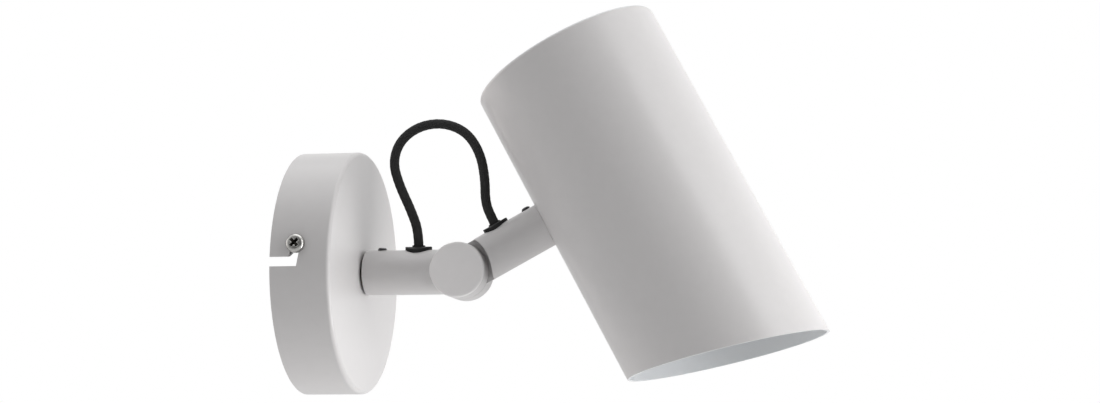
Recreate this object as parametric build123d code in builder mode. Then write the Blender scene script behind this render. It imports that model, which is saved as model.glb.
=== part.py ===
"""Pivoting spotlight wall light: canopy, swivelling arm, tilting knuckle and a slanted shade.

Millimetres. The origin is the centre of the wall side, +X points out of the wall and +Z points up.
"""

import os
from math import cos, radians, sin, sqrt, tan

from build123d import *

# Canopy: a pressed steel cup
canopy_diameter = 100.0
canopy_depth = 24.5
canopy_wall = 1.0
canopy_edge_radius = 1.6

# Bayonet lock of the canopy: two screws in L-shaped slots
lock_screw_diameter = 3.5
lock_head_diameter = 7.6
lock_head_height = 2.6
lock_reach = 10.6  # wall to the axis of the locking screws
lock_twist = 8.0  # degrees from the slot's way in to its far end
lock_slot_play = 0.3
lock_slot_lean = 10.0  # degrees; turning the canopy draws it to the wall

# Wall bracket: bent from steel sheet
bracket_thickness = 1.5
bracket_width = 18.0
bracket_length = 82.0
bracket_corner = 4.0
wall_hole_spacing = 60.0
wall_slot_width = 4.5
wall_slot_length = 12.0
supply_hole_diameter = 12.0
ear_above = 7.0  # ear edges, measured round the rim from the screw
ear_below = 2.9
ear_root_below = 4.3  # the ear is wider where it leaves the wall
ear_root_reach = 3.2  # end of that wider part, behind the screw
ear_margin = 4.4  # ear past the screw, away from the wall
ear_gap = 0.3  # least gap between ear and canopy
ear_arm_low = 10.5  # where the ear's arm leaves the strap
ear_arm_high = 21.0

# Tubes of the arm and the head
tube_diameter = 18.5
tube_wall = 2.0
tube_end_wall = 1.4  # metal left between the bore and the knuckle
tube_end_round = 0.4
swivel_gap = 1.0  # shadow gap between canopy and arm

# Knuckle
pivot_reach = 65.8  # wall to the tilt axis
knuckle_rim = 2.15  # knuckle beyond the tubes, all round
knuckle_proud = 0.25  # knuckle's faces beyond the tubes' sides
knuckle_edge_round = 0.9
knuckle_split = 0.3  # gap between the two halves
arm_saddle_gap = 1.1  # arm tube's hollow end to the head's half of the knuckle
head_saddle_gap = 2.65  # head tube's hollow end to the arm's half
head_pitch = 28.3  # head tube above the horizontal, degrees
tilt_limit = 70.0  # head tube's pitch either way, degrees

# Stop inside the knuckle: a lug that runs in an arc groove
stop_inset = 2.3  # lug's centre inside the knuckle's rim
stop_lug_diameter = 1.6
stop_groove_depth = 1.6
stop_play = 0.2

# Pivot screw and washers
pivot_screw_diameter = 5.0
pivot_head_diameter = 9.5
pivot_head_height = 2.8
pivot_thread_depth = 7.0
pivot_washer_thickness = 1.0
spring_washer_thickness = 1.2
friction_washer_diameter = 13.0
friction_recess = 0.35  # depth of the washer's seat in each half
pivot_hex = 3.0

# Turned bushes with a hollow threaded shank
bush_room = 1.05  # bush's end to the grommet's lip
shank_diameter = 10.0
shank_bore = 6.0
shank_length = 11.0
head_shank_length = 9.5
nut_across_flats = 14.0
nut_thickness = 3.0
washer_diameter = 18.0
washer_thickness = 1.0

# Set screws
set_screw_diameter = 4.0
set_screw_proud = 1.0
set_screw_hex = 2.0
dog_diameter = 2.8
dog_groove_width = 3.2
dog_groove_depth = 1.6
dog_play = 0.3
arm_set_inset = 6.3  # end of the arm's tube to its set screw
head_set_inset = 4.25  # shade to the head's set screw
stop_web_angle = 22.0  # wall left between the ends of the bush's groove, degrees

# Cable and its rubber grommets
cable_diameter = 4.0
arm_grommet_land = 0.2  # grommet's lip to the end of the arm's bore
head_grommet_land = 1.35  # grommet's lip to the end of the head's bore
grommet_flange_diameter = 11.0
grommet_flange_thickness = 1.3
grommet_neck_diameter = 7.0
grommet_lip_diameter = 8.8
grommet_lip_thickness = 1.0
grommet_collar_diameter = 5.4  # raised ring round the cable
grommet_collar_height = 0.5
cable_bend = 6.0  # bend inside the tubes
cable_tail = 14.0  # wall to the cable's end in the canopy
head_cable_tail = 8.5  # cable past the shade's wall
loop_arm_lead = 8.25  # straight way out of the arm's grommet
loop_head_lead = 5.5  # straight way into the head's grommet

# Shade: a drawn steel can
shade_diameter = 80.0
shade_wall = 1.0
shade_edge_radius = 1.6
shade_above = 57.3  # head tube's axis to the closed top
shade_below = 83.0  # head tube's axis to the mouth, on the shade's axis
mouth_slope = 14.6  # degrees
shade_distance = 39.65  # tilt axis to the shade's wall

# Lampholder and its bracket
saddle_thickness = 1.5
holder_strip_thickness = 1.5
holder_strip_width = 14.0
holder_strip_drop = 9.0
holder_height = 15.0
holder_diameter = 27.0
holder_top = 14.0  # head tube's axis to the holder's back
pin_spacing = 10.0
pin_hole_diameter = 5.6
pin_slot_width = 3.2
pin_slot_angle = 30.0
pin_hole_depth = 9.0
contact_thickness = 0.8
holder_screw_diameter = 3.0
holder_screw_spacing = 19.0
holder_head_diameter = 5.6
holder_head_height = 2.4
holder_nut_across_flats = 5.5
holder_nut_thickness = 2.4
holder_screw_end = 0.8
lead_entry_drop = 4.0  # holder's back to the hole for its leads
lead_entry_depth = 2.0
lead_straight = 5.0  # straight ends of the holder's leads

# Terminal block, earthing and leads
block_width = 17.0
block_height = 14.0
block_depth = 13.0
block_centre = 18.0  # below the arm's axis
pole_spacing = 8.4
pole_reach = 8.0  # wall to the wire holes
terminal_tube_diameter = 5.0
terminal_bore = 3.0
terminal_screw_diameter = 3.0
terminal_screw_spacing = 6.5
lead_diameter = 1.8
lead_bend = 3.0
lead_offset = 1.0  # the two live cores beside the cable's axis
lead_drop = 0.6  # and below it
earth_rise = 1.15  # the earth core above it
earth_height = 15.5  # above the arm's axis
earth_screw_diameter = 4.0
earth_head_diameter = 7.6
earth_head_height = 2.6
earth_tag_diameter = 8.0
earth_tag_thickness = 0.8
earth_barrel_length = 4.0

# Clearances
thread_play = 0.05
running_play = 0.05
seat_play = 0.05
bore_play = 0.1

# Worked out from the sizes above
canopy_radius = canopy_diameter / 2
canopy_inner_radius = canopy_radius - canopy_wall
tube_radius = tube_diameter / 2
bore_radius = tube_radius - tube_wall
tube_middle = (tube_radius + bore_radius) / 2
knuckle_radius = tube_radius + knuckle_rim
knuckle_half_width = tube_radius + knuckle_proud
stop_radius = knuckle_radius - stop_inset
arm_saddle_radius = knuckle_radius + arm_saddle_gap
head_saddle_radius = knuckle_radius + head_saddle_gap
arm_start = canopy_depth + swivel_gap
grommet_lip_radius = grommet_lip_diameter / 2
arm_bore_end = pivot_reach - arm_saddle_radius - tube_end_wall
arm_grommet_reach = arm_bore_end - grommet_lip_radius - arm_grommet_land
arm_set_reach = arm_start + arm_set_inset
arm_bush_length = arm_grommet_reach - grommet_lip_radius - bush_room - canopy_depth
head_bore_start = head_saddle_radius + tube_end_wall  # tilt axis to the head's bore
head_grommet_reach = head_bore_start + grommet_lip_radius + head_grommet_land
head_set_reach = shade_distance - head_set_inset
head_bush_length = shade_distance - head_grommet_reach - grommet_lip_radius - bush_room
shade_radius = shade_diameter / 2
shade_reach = shade_distance + shade_radius  # tilt axis to the shade's axis
inner_wall_reach = shade_distance + shade_wall
half_split = knuckle_split / 2
ear_reach = sqrt(canopy_inner_radius**2 - max(ear_above, ear_root_below) ** 2) - ear_gap

# The head lies in a plane of its own: x along its tube, y along the shade, normal towards -Y
pitch = radians(head_pitch)
along_head = Vector(cos(pitch), 0, sin(pitch))
up_shade = Vector(-sin(pitch), 0, cos(pitch))
side_plane = Plane(origin=(0, 0, 0), x_dir=(1, 0, 0), z_dir=(0, -1, 0))
pivot_plane = Plane(origin=(pivot_reach, 0, 0), x_dir=(1, 0, 0), z_dir=(0, -1, 0))
head_plane = Plane(origin=(pivot_reach, 0, 0), x_dir=along_head, z_dir=(0, -1, 0))
pivot_axis = Axis((pivot_reach, 0, 0), (0, -1, 0))


def head_point(along, above, near=0.0):
    """A point of the head, from the tilt axis."""
    return head_plane.from_local_coords(Vector(along, above, near))


def across_arm(reach):
    """Plane square to the arm's tube."""
    return Plane(origin=(reach, 0, 0), x_dir=(0, 1, 0), z_dir=(1, 0, 0))


def across_head(along):
    """Plane square to the head's tube."""
    return Plane(origin=head_point(along, 0), x_dir=(0, 1, 0), z_dir=along_head)


def across_shade(above):
    """Plane square to the shade, on its axis."""
    return Plane(origin=head_point(shade_reach, above), x_dir=along_head, z_dir=up_shade)


def top_of_arm(reach):
    """Plane on the arm's axis that looks up, x along the tube."""
    return Plane(origin=(reach, 0, 0), x_dir=(1, 0, 0), z_dir=(0, 0, 1))


def top_of_head(along):
    """Plane on the head tube's axis that looks up out of it, x along the tube."""
    return Plane(origin=head_point(along, 0), x_dir=along_head, z_dir=up_shade)


os.makedirs("parts", exist_ok=True)


# ---------------------------------------------------------------- canopy and its lock

# The two locking screws stand opposite each other, square to the rim
lock_turn = radians(lock_twist)
lock_planes = [
    Plane(
        origin=(lock_reach, 0, 0),
        x_dir=(1, 0, 0),
        z_dir=(0, -side * cos(lock_turn), side * sin(lock_turn)),
    )
    for side in (1, -1)
]
slot_width = lock_screw_diameter + lock_slot_play
slot_end = canopy_radius * sin(lock_turn)
slot_lean = tan(radians(lock_slot_lean))


def slot_side(side, above):
    """A point on either side of a slot's leaning leg."""
    half_width = slot_width / 2 / cos(radians(lock_slot_lean))
    return (lock_reach + side * half_width + (above - slot_end) * slot_lean, above)


slot_outline = [
    (-canopy_wall, -slot_width / 2),
    slot_side(1, -slot_width / 2),
    slot_side(1, slot_end),
    slot_side(-1, slot_end),
    slot_side(-1, slot_width / 2),
    (-canopy_wall, slot_width / 2),
]

with BuildPart() as canopy:
    with BuildSketch(across_arm(0)):
        Circle(canopy_radius)
    extrude(amount=canopy_depth)
    fillet(canopy.edges().sort_by(Axis.X)[-1], radius=canopy_edge_radius)
    offset(amount=-canopy_wall, openings=canopy.faces().sort_by(Axis.X)[0])
    with BuildSketch(across_arm(canopy_depth - 2 * canopy_wall)):
        Circle(shank_diameter / 2 + bore_play)
    extrude(amount=3 * canopy_wall, mode=Mode.SUBTRACT)
    for facing in (-1, 1):
        slot_plane = Plane(origin=(0, 0, 0), x_dir=(1, 0, 0), z_dir=(0, facing, 0))
        with BuildSketch(slot_plane):
            Polygon(*slot_outline, align=None)
            with Locations((lock_reach, slot_end)):
                Circle(slot_width / 2)
        extrude(amount=canopy_radius + canopy_wall, mode=Mode.SUBTRACT)
canopy.part.label = "canopy"
export_step(canopy.part, "parts/canopy.step")


def pan_screw(plane, diameter, head_diameter, head_height, below, seat=0.0):
    """Pan-head cross-recess screw that points along the plane's -Z, its head on the seat."""
    recess_width = head_diameter * 0.14
    recess_length = head_diameter * 0.56
    with BuildPart() as screw:
        with BuildSketch(plane.offset(seat)):
            Circle(head_diameter / 2)
        extrude(amount=head_height)
        fillet(screw.faces().sort_by(Axis(plane.origin, plane.z_dir))[-1].edges(), head_height * 0.6)
        with BuildSketch(plane.offset(seat - below)):
            Circle(diameter / 2)
        extrude(amount=below)
        with BuildSketch(plane.offset(seat + head_height)):
            Rectangle(recess_length, recess_width)
            Rectangle(recess_width, recess_length)
        extrude(amount=-head_height * 0.6, mode=Mode.SUBTRACT)
    return screw.part


lock_screw_depth = canopy_radius - ear_reach + bracket_thickness + 1.0
with BuildPart() as canopy_screws:
    for plane in lock_planes:
        add(
            pan_screw(
                plane,
                lock_screw_diameter,
                lock_head_diameter,
                lock_head_height,
                lock_screw_depth,
                seat=canopy_radius + seat_play,
            )
        )
canopy_screws.part.label = "canopy_screws"
export_step(canopy_screws.part, "parts/canopy_screws.step")

# ---------------------------------------------------------------- wall bracket

ear_across = Vector(sin(lock_turn), cos(lock_turn))
ear_outward = Vector(-cos(lock_turn), sin(lock_turn))
ear_low_corner = ear_outward * ear_reach - ear_across * ear_root_below
ear_high_corner = ear_outward * ear_reach + ear_across * ear_above
ear_arm_outline = [
    (ear_low_corner.X, ear_low_corner.Y),
    (ear_high_corner.X, ear_high_corner.Y),
    (0, ear_arm_high),
    (0, ear_arm_low),
]
ear_outline = [
    (-lock_reach, -ear_root_below),
    (-ear_root_reach, -ear_root_below),
    (-ear_root_reach + ear_root_below - ear_below, -ear_below),
    (ear_margin, -ear_below),
    (ear_margin, ear_above),
    (-lock_reach, ear_above),
]

with BuildPart() as wall_bracket:
    with BuildSketch(across_arm(0)):
        RectangleRounded(bracket_width, bracket_length, bracket_corner)
        with PolarLocations(0, 2):
            Polygon(*ear_arm_outline, align=None)
        Circle(supply_hole_diameter / 2, mode=Mode.SUBTRACT)
        with GridLocations(0, wall_hole_spacing, 1, 2):
            SlotOverall(wall_slot_length, wall_slot_width, rotation=90, mode=Mode.SUBTRACT)
        with Locations((0, earth_height)):
            Circle(earth_screw_diameter / 2 + thread_play, mode=Mode.SUBTRACT)
        with Locations((0, -block_centre)):
            Circle(terminal_screw_diameter / 2 + thread_play, mode=Mode.SUBTRACT)
    extrude(amount=bracket_thickness)
    for plane in lock_planes:
        with BuildSketch(plane.offset(ear_reach)):
            Polygon(*ear_outline, align=None)
            Circle(lock_screw_diameter / 2 + thread_play, mode=Mode.SUBTRACT)
        extrude(amount=-bracket_thickness)
    wall_edges = wall_bracket.edges().filter_by(GeomType.LINE).group_by(Axis.X)[0]
    ear_edges = wall_edges.filter_by(lambda edge: abs(edge.center().Y) > bracket_length / 2)
    fillet(ear_edges.sort_by(SortBy.LENGTH)[-2:], radius=bracket_thickness * 0.9)
wall_bracket.part.label = "wall_bracket"
export_step(wall_bracket.part, "parts/wall_bracket.step")

# ---------------------------------------------------------------- bushes and nuts


def turned_bush(plane, length, shank):
    """Bush with a spigot along the plane's +Z, a threaded shank along -Z and a bore through both."""
    with BuildPart() as bush:
        with BuildSketch(plane):
            Circle(bore_radius - running_play)
        extrude(amount=length)
        chamfer(bush.faces().sort_by(Axis(plane.origin, plane.z_dir))[-1].edges(), 0.5)
        with BuildSketch(plane):
            Circle(shank_diameter / 2)
        extrude(amount=-shank)
        with BuildSketch(plane.offset(-shank)):
            Circle(shank_bore / 2)
        extrude(amount=shank + length, mode=Mode.SUBTRACT)
    return bush.part


def hex_nut(plane, across_flats, thickness, hole_diameter, rotation=0.0):
    """Hexagon nut on the plane, towards its +Z."""
    with BuildPart() as nut:
        with BuildSketch(plane):
            RegularPolygon(across_flats / 2, 6, major_radius=False, rotation=rotation)
            Circle(hole_diameter / 2 + thread_play, mode=Mode.SUBTRACT)
        extrude(amount=thickness)
    return nut.part


def flat_washer(plane, diameter, hole_diameter, thickness):
    """Flat washer on the plane, towards its +Z."""
    with BuildPart() as washer:
        with BuildSketch(plane):
            Circle(diameter / 2)
            Circle(hole_diameter / 2, mode=Mode.SUBTRACT)
        extrude(amount=thickness)
    return washer.part


# The groove stops short of a full turn. The web that is left stops the set screw's dog, so the
# arm turns about 155 degrees either way and can't twist the cable off.
groove_half_angle = 180 - stop_web_angle / 2
groove_floor = bore_radius - running_play - dog_groove_depth

with BuildPart() as swivel_bush:
    add(turned_bush(across_arm(canopy_depth), arm_bush_length, shank_length))
    with BuildSketch(side_plane, mode=Mode.PRIVATE) as groove_profile:
        with Locations((arm_set_reach, (groove_floor + bore_radius + 1) / 2)):
            Rectangle(dog_groove_width, bore_radius + 1 - groove_floor)
    groove_face = groove_profile.sketch.rotate(Axis.X, -groove_half_angle)
    revolve(groove_face, axis=Axis.X, revolution_arc=2 * groove_half_angle, mode=Mode.SUBTRACT)
swivel_bush.part.label = "swivel_bush"
export_step(swivel_bush.part, "parts/swivel_bush.step")

washer_face = canopy_depth - canopy_wall
with BuildPart() as bush_washer:
    add(
        flat_washer(
            across_arm(washer_face - washer_thickness),
            washer_diameter,
            shank_diameter + 2 * bore_play,
            washer_thickness,
        )
    )
bush_washer.part.label = "bush_washer"
export_step(bush_washer.part, "parts/bush_washer.step")

with BuildPart() as bush_nut:
    add(
        hex_nut(
            across_arm(washer_face - washer_thickness - nut_thickness),
            nut_across_flats,
            nut_thickness,
            shank_diameter,
        )
    )
bush_nut.part.label = "bush_nut"
export_step(bush_nut.part, "parts/bush_nut.step")

# ---------------------------------------------------------------- arm

with BuildPart() as arm:
    with BuildSketch(across_arm(arm_start)):
        Circle(tube_radius)
    extrude(amount=pivot_reach - arm_start)
    fillet(arm.faces().sort_by(Axis.X)[0].edges(), tube_end_round)
    # the other half of the knuckle turns in this recess
    with BuildSketch(pivot_plane.offset(half_split)):
        Circle(arm_saddle_radius)
    extrude(amount=-(half_split + tube_radius + 1), mode=Mode.SUBTRACT)
    with BuildSketch(pivot_plane.offset(half_split)):
        Circle(knuckle_radius)
    extrude(amount=knuckle_half_width - half_split)
    near_rim = arm.faces().sort_by(Axis.Y)[0].edges()
    fillet(near_rim, knuckle_edge_round)
    # bore, holes for grommet and set screw
    with BuildSketch(across_arm(arm_start)):
        Circle(bore_radius)
    extrude(amount=arm_bore_end - arm_start, mode=Mode.SUBTRACT)
    with BuildSketch(top_of_arm(arm_grommet_reach)):
        Circle(grommet_neck_diameter / 2)
    extrude(amount=tube_diameter, mode=Mode.SUBTRACT)
    with BuildSketch(top_of_arm(arm_set_reach)):
        Circle(set_screw_diameter / 2 + thread_play)
    extrude(amount=tube_diameter, mode=Mode.SUBTRACT)
    # tapped hole, washer seat and stop groove in the inner face
    with BuildSketch(pivot_plane.offset(half_split)):
        Circle(pivot_screw_diameter / 2 + thread_play)
    extrude(amount=pivot_thread_depth + 0.5, mode=Mode.SUBTRACT)
    with BuildSketch(pivot_plane.offset(half_split)):
        Circle(friction_washer_diameter / 2 + bore_play)
    extrude(amount=friction_recess, mode=Mode.SUBTRACT)
    with BuildSketch(pivot_plane.offset(half_split)):
        with BuildLine(mode=Mode.PRIVATE):
            stop_arc = CenterArc((0, 0), stop_radius, 90 - tilt_limit, 2 * tilt_limit)
        SlotArc(stop_arc, stop_lug_diameter + 2 * stop_play)
    extrude(amount=stop_groove_depth, mode=Mode.SUBTRACT)
arm.part.label = "arm"
export_step(arm.part, "parts/arm.step")

# ---------------------------------------------------------------- head stem

with BuildPart() as head_stem:
    with BuildSketch(across_head(0)):
        Circle(tube_radius)
    extrude(amount=shade_distance + shade_radius / 2)
    # the end is cut to the shade's curve
    with BuildSketch(across_shade(-tube_diameter)):
        Circle(shade_radius + seat_play)
    extrude(amount=2 * tube_diameter, mode=Mode.SUBTRACT)
    with BuildSketch(pivot_plane.offset(-half_split)):
        Circle(head_saddle_radius)
    extrude(amount=half_split + tube_radius + 1, mode=Mode.SUBTRACT)
    with BuildSketch(pivot_plane.offset(-half_split)):
        Circle(knuckle_radius)
    extrude(amount=-(knuckle_half_width - half_split))
    far_rim = head_stem.faces().sort_by(Axis.Y)[-1].edges()
    fillet(far_rim, knuckle_edge_round)
    with BuildSketch(across_head(head_bore_start)):
        Circle(bore_radius)
    extrude(amount=shade_reach - head_bore_start, mode=Mode.SUBTRACT)
    with BuildSketch(top_of_head(head_grommet_reach)):
        Circle(grommet_neck_diameter / 2)
    extrude(amount=tube_diameter, mode=Mode.SUBTRACT)
    with BuildSketch(top_of_head(head_set_reach)):
        Circle(set_screw_diameter / 2 + thread_play)
    extrude(amount=tube_diameter, mode=Mode.SUBTRACT)
    # bore for the pivot screw, recess for its head and washers, washer seat
    with BuildSketch(pivot_plane.offset(-half_split)):
        Circle(pivot_screw_diameter / 2 + running_play)
    extrude(amount=-knuckle_half_width, mode=Mode.SUBTRACT)
    pivot_recess = pivot_head_height + pivot_washer_thickness + spring_washer_thickness
    with BuildSketch(pivot_plane.offset(-knuckle_half_width)):
        Circle(pivot_head_diameter / 2 + 2 * bore_play)
    extrude(amount=pivot_recess, mode=Mode.SUBTRACT)
    with BuildSketch(pivot_plane.offset(-half_split)):
        Circle(friction_washer_diameter / 2 + bore_play)
    extrude(amount=-friction_recess, mode=Mode.SUBTRACT)
    # stop lug, square to the head's tube
    with BuildSketch(head_plane.offset(-half_split)):
        with Locations((0, stop_radius)):
            Circle(stop_lug_diameter / 2)
    extrude(amount=knuckle_split + stop_groove_depth - stop_play)
head_stem.part.label = "head_stem"
export_step(head_stem.part, "parts/head_stem.step")

# ---------------------------------------------------------------- pivot screw and washers

washer_seat = knuckle_half_width - pivot_recess  # far side, from the middle of the knuckle

with BuildPart() as friction_washer:
    add(
        flat_washer(
            pivot_plane.offset(-half_split - friction_recess),
            friction_washer_diameter,
            pivot_screw_diameter + 2 * bore_play,
            knuckle_split + 2 * friction_recess,
        )
    )
friction_washer.part.label = "friction_washer"
export_step(friction_washer.part, "parts/friction_washer.step")

with BuildPart() as pivot_washer:
    add(
        flat_washer(
            pivot_plane.offset(-washer_seat - pivot_washer_thickness),
            pivot_head_diameter,
            pivot_screw_diameter + 2 * bore_play,
            pivot_washer_thickness,
        )
    )
pivot_washer.part.label = "pivot_washer"
export_step(pivot_washer.part, "parts/pivot_washer.step")
spring_seat = washer_seat + pivot_washer_thickness
with BuildPart() as spring_washer:
    add(
        flat_washer(
            pivot_plane.offset(-spring_seat - spring_washer_thickness),
            pivot_head_diameter - 1.0,
            pivot_screw_diameter + 2 * bore_play,
            spring_washer_thickness,
        )
    )
    # a spring washer is split
    with BuildSketch(pivot_plane.offset(-spring_seat - spring_washer_thickness)):
        with Locations((pivot_head_diameter / 2, 0)):
            Rectangle(pivot_head_diameter, 1.0)
    extrude(amount=spring_washer_thickness, mode=Mode.SUBTRACT)
spring_washer.part.label = "spring_washer"
export_step(spring_washer.part, "parts/spring_washer.step")

screw_head_seat = spring_seat + spring_washer_thickness
with BuildPart() as pivot_screw:
    with BuildSketch(pivot_plane.offset(-screw_head_seat - pivot_head_height)):
        Circle(pivot_head_diameter / 2)
    extrude(amount=pivot_head_height)
    fillet(pivot_screw.faces().sort_by(Axis.Y)[-1].edges(), pivot_head_height * 0.5)
    with BuildSketch(pivot_plane.offset(-screw_head_seat)):
        Circle(pivot_screw_diameter / 2)
    extrude(amount=screw_head_seat + half_split + pivot_thread_depth)
    with BuildSketch(pivot_plane.offset(-screw_head_seat - pivot_head_height)):
        RegularPolygon(pivot_hex / 2, 6, major_radius=False)
    extrude(amount=pivot_head_height * 0.7, mode=Mode.SUBTRACT)
pivot_screw.part.label = "pivot_screw"
export_step(pivot_screw.part, "parts/pivot_screw.step")

# ---------------------------------------------------------------- set screws


def set_screw(plane):
    """Hexagon-socket set screw with a dog point, along the plane's Z."""
    top = tube_radius + set_screw_proud
    bottom = bore_radius + running_play
    with BuildPart() as screw:
        with BuildSketch(plane.offset(bottom)):
            Circle(set_screw_diameter / 2)
        extrude(amount=top - bottom)
        chamfer(screw.faces().sort_by(Axis(plane.origin, plane.z_dir))[-1].edges(), 0.25)
        with BuildSketch(plane.offset(groove_floor + dog_play)):
            Circle(dog_diameter / 2)
        extrude(amount=bottom - groove_floor - dog_play)
        with BuildSketch(plane.offset(top)):
            RegularPolygon(set_screw_hex / 2, 6, major_radius=False)
        extrude(amount=-set_screw_hex, mode=Mode.SUBTRACT)
    return screw.part


with BuildPart() as arm_set_screw:
    add(set_screw(top_of_arm(arm_set_reach)))
arm_set_screw.part.label = "arm_set_screw"
export_step(arm_set_screw.part, "parts/arm_set_screw.step")

with BuildPart() as head_set_screw:
    add(set_screw(top_of_head(head_set_reach)))
head_set_screw.part.label = "head_set_screw"
export_step(head_set_screw.part, "parts/head_set_screw.step")

# ---------------------------------------------------------------- grommets

def rubber_grommet(plane, tube_plane):
    """Grommet in a tube's wall: the flange hugs the tube, the lip hugs the bore."""
    with BuildPart() as lip:
        with BuildSketch(plane):
            Circle(grommet_lip_radius)
        extrude(amount=tube_diameter)
        with BuildSketch(tube_plane):
            Circle(bore_radius - seat_play)
        extrude(amount=grommet_flange_diameter, both=True, mode=Mode.INTERSECT)
    with BuildPart() as grommet:
        with BuildSketch(plane):
            Circle(grommet_flange_diameter / 2)
        extrude(amount=tube_diameter)
        with BuildSketch(tube_plane):
            Circle(tube_radius + grommet_flange_thickness)
        extrude(amount=grommet_flange_diameter, both=True, mode=Mode.INTERSECT)
        with BuildSketch(plane):
            Circle(grommet_collar_diameter / 2)
        extrude(amount=tube_radius + grommet_flange_thickness + grommet_collar_height)
        with BuildSketch(tube_plane):
            Circle(tube_radius + seat_play)
        extrude(amount=grommet_flange_diameter, both=True, mode=Mode.SUBTRACT)
        with BuildSketch(plane):
            Circle(grommet_neck_diameter / 2 - seat_play)
        extrude(amount=tube_radius + seat_play)
        add(lip.part)
        with BuildSketch(tube_plane):
            Circle(bore_radius - grommet_lip_thickness)
        extrude(amount=grommet_flange_diameter, both=True, mode=Mode.SUBTRACT)
        with BuildSketch(plane):
            Circle(cable_diameter / 2 + bore_play)
        extrude(amount=tube_diameter, mode=Mode.SUBTRACT)
    return grommet.part


with BuildPart() as arm_grommet:
    add(rubber_grommet(top_of_arm(arm_grommet_reach), across_arm(arm_grommet_reach)))
arm_grommet.part.label = "arm_grommet"
export_step(arm_grommet.part, "parts/arm_grommet.step")

with BuildPart() as head_grommet:
    add(rubber_grommet(top_of_head(head_grommet_reach), across_head(head_grommet_reach)))
head_grommet.part.label = "head_grommet"
export_step(head_grommet.part, "parts/head_grommet.step")

# ---------------------------------------------------------------- cable

# The free loop lies in the middle plane. Its ends run square through the two grommets, and
# between them it goes over the knuckle through these points (x, z), measured from the tilt axis.
loop_points = [
    (-22.1, 26.0),
    (-27.0, 36.0),
    (-30.2, 46.0),
    (-27.2, 55.3),
    (-18.8, 61.2),
    (-8.3, 62.2),
    (1.4, 58.0),
    (7.2, 49.0),
    (9.3, 38.5),
    (9.5, 28.5),
]
head_way_in = head_point(head_grommet_reach, tube_middle + loop_head_lead)
head_end = head_point(head_grommet_reach, tube_middle)
loop_route = [
    (arm_grommet_reach, tube_middle),
    (arm_grommet_reach, tube_middle + loop_arm_lead),
    *[(pivot_reach + x, z) for x, z in loop_points],
    (head_way_in.X, head_way_in.Z),
    (head_end.X, head_end.Z),
]


def corner_radii(route):
    """Largest fair arc at each corner of a route: 0.45 of the shorter run over tan of half the turn."""
    radii = []
    for before, corner, after in zip(route, route[1:], route[2:]):
        run_in = Vector(*corner) - Vector(*before)
        run_out = Vector(*after) - Vector(*corner)
        half_turn = radians(run_in.get_angle(run_out)) / 2
        radii.append(0.45 * min(run_in.length, run_out.length) / tan(half_turn))
    return radii


loop_radii = corner_radii(loop_route)
print("loop radii in cable diameters:", [round(radius / cable_diameter, 1) for radius in loop_radii])

with BuildPart() as cable_loop:
    with BuildLine(side_plane) as loop_line:
        FilletPolyline(*loop_route, radius=loop_radii)
    with BuildSketch(Plane(origin=loop_line.line @ 0, z_dir=loop_line.line % 0)):
        Circle(cable_diameter / 2)
    sweep(path=loop_line.line)
cable_loop.part.label = "cable_loop"
export_step(cable_loop.part, "parts/cable_loop.step")
loop_length = loop_line.wire().length
loop_section = cable_loop.part.volume / loop_length
print("loop length", round(loop_length, 1), "mm, its section", round(loop_section, 3), "mm2")

with BuildPart() as arm_cable:
    with BuildLine(side_plane) as arm_cable_line:
        FilletPolyline(
            (cable_tail, 0),
            (arm_grommet_reach, 0),
            (arm_grommet_reach, tube_middle),
            radius=[cable_bend],
        )
    with BuildSketch(across_arm(cable_tail)):
        Circle(cable_diameter / 2)
    sweep(path=arm_cable_line.line)
arm_cable.part.label = "arm_cable"
export_step(arm_cable.part, "parts/arm_cable.step")

with BuildPart() as head_cable:
    with BuildLine(head_plane) as head_cable_line:
        FilletPolyline(
            (head_grommet_reach, tube_middle),
            (head_grommet_reach, 0),
            (inner_wall_reach + head_cable_tail, 0),
            radius=[cable_bend],
        )
    with BuildSketch(top_of_head(head_grommet_reach).offset(tube_middle)):
        Circle(cable_diameter / 2)
    sweep(path=head_cable_line.line)
head_cable.part.label = "head_cable"
export_step(head_cable.part, "parts/head_cable.step")

# ---------------------------------------------------------------- shade

with BuildPart() as shade:
    mouth_drop = shade_radius * tan(radians(mouth_slope))
    with BuildSketch(across_shade(-shade_below - 2 * mouth_drop)):
        Circle(shade_radius)
    extrude(amount=shade_above + shade_below + 2 * mouth_drop)
    shade_up = Axis(head_point(shade_reach, 0), up_shade)
    fillet(shade.faces().sort_by(shade_up)[-1].edges(), radius=shade_edge_radius)
    offset(amount=-shade_wall, openings=shade.faces().sort_by(shade_up)[0])
    # the mouth is cut on a slant, longest on the side away from the wall
    slope = radians(mouth_slope)
    mouth_plane = Plane(
        origin=head_point(shade_reach, -shade_below),
        x_dir=along_head * cos(slope) - up_shade * sin(slope),
        z_dir=along_head * sin(slope) + up_shade * cos(slope),
    )
    split(bisect_by=mouth_plane, keep=Keep.TOP)
    with BuildSketch(across_head(shade_distance - shade_wall)):
        Circle(shank_diameter / 2 + bore_play)
    extrude(amount=3 * shade_wall, mode=Mode.SUBTRACT)
shade.part.label = "shade"
export_step(shade.part, "parts/shade.step")

# ---------------------------------------------------------------- what carries the shade

strip_face = inner_wall_reach + saddle_thickness
with BuildPart() as head_bush:
    add(
        turned_bush(
            Plane(origin=head_point(shade_distance, 0), x_dir=(0, 1, 0), z_dir=-along_head),
            head_bush_length,
            head_shank_length,
        )
    )
    # hole for the set screw's dog
    with BuildSketch(top_of_head(head_set_reach).offset(groove_floor)):
        Circle(dog_groove_width / 2)
    extrude(amount=bore_radius, mode=Mode.SUBTRACT)
head_bush.part.label = "head_bush"
export_step(head_bush.part, "parts/head_bush.step")

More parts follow.
